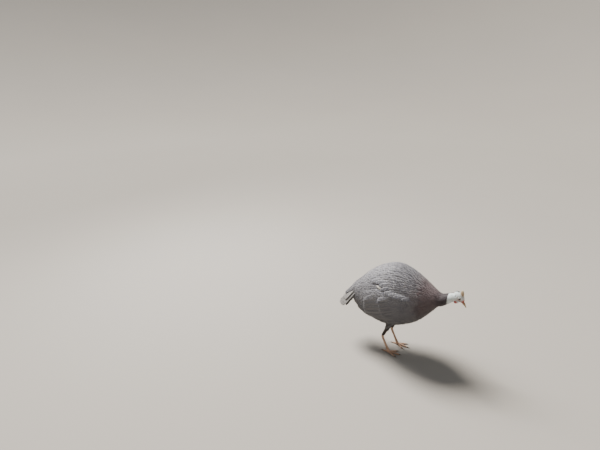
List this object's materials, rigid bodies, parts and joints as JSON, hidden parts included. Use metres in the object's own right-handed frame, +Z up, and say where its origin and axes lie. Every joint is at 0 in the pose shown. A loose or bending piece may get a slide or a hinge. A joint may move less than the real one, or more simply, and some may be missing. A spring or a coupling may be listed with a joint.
{
  "type": "guinea fowl",
  "caption": "Life-size still model of a pearl-grey guinea fowl standing with its back arched, neck stretched forward and tail hanging.",
  "frame": {"origin": "on the floor, under the middle of the bird's bounding box", "axes": "+Z up, the bird faces -Y, its left side is +X"},
  "size_m": [0.2156, 0.4924, 0.3688],
  "materials": {
    "plumage": "soft overlapping contour feathers, dull",
    "wing": "closed feather vanes with a slight sheen",
    "neck": "short dense feathers, dull",
    "face": "bare skin, matt",
    "horn": "smooth horn, satin",
    "bill": "horn bill, satin",
    "wattle": "fleshy bare skin, satin",
    "eye": "wet dark eye, glossy",
    "leg": "scaled skin, matt"
  },
  "bodies": {
    "root": {"torso": "plumage", "wing_right": "wing", "wing_left": "wing", "tail": "wing", "neck_lower": "neck", "neck_upper": "face", "head": "face", "casque": "horn", "bill_upper": "bill", "bill_lower": "bill", "eye_right": "eye", "eye_left": "eye", "wattle_right": "wattle", "wattle_left": "wattle", "thigh_right": "plumage", "thigh_left": "plumage", "shank_right": "leg", "shank_left": "leg", "foot_right": "leg", "foot_left": "leg"}
  },
  "joints": []
}
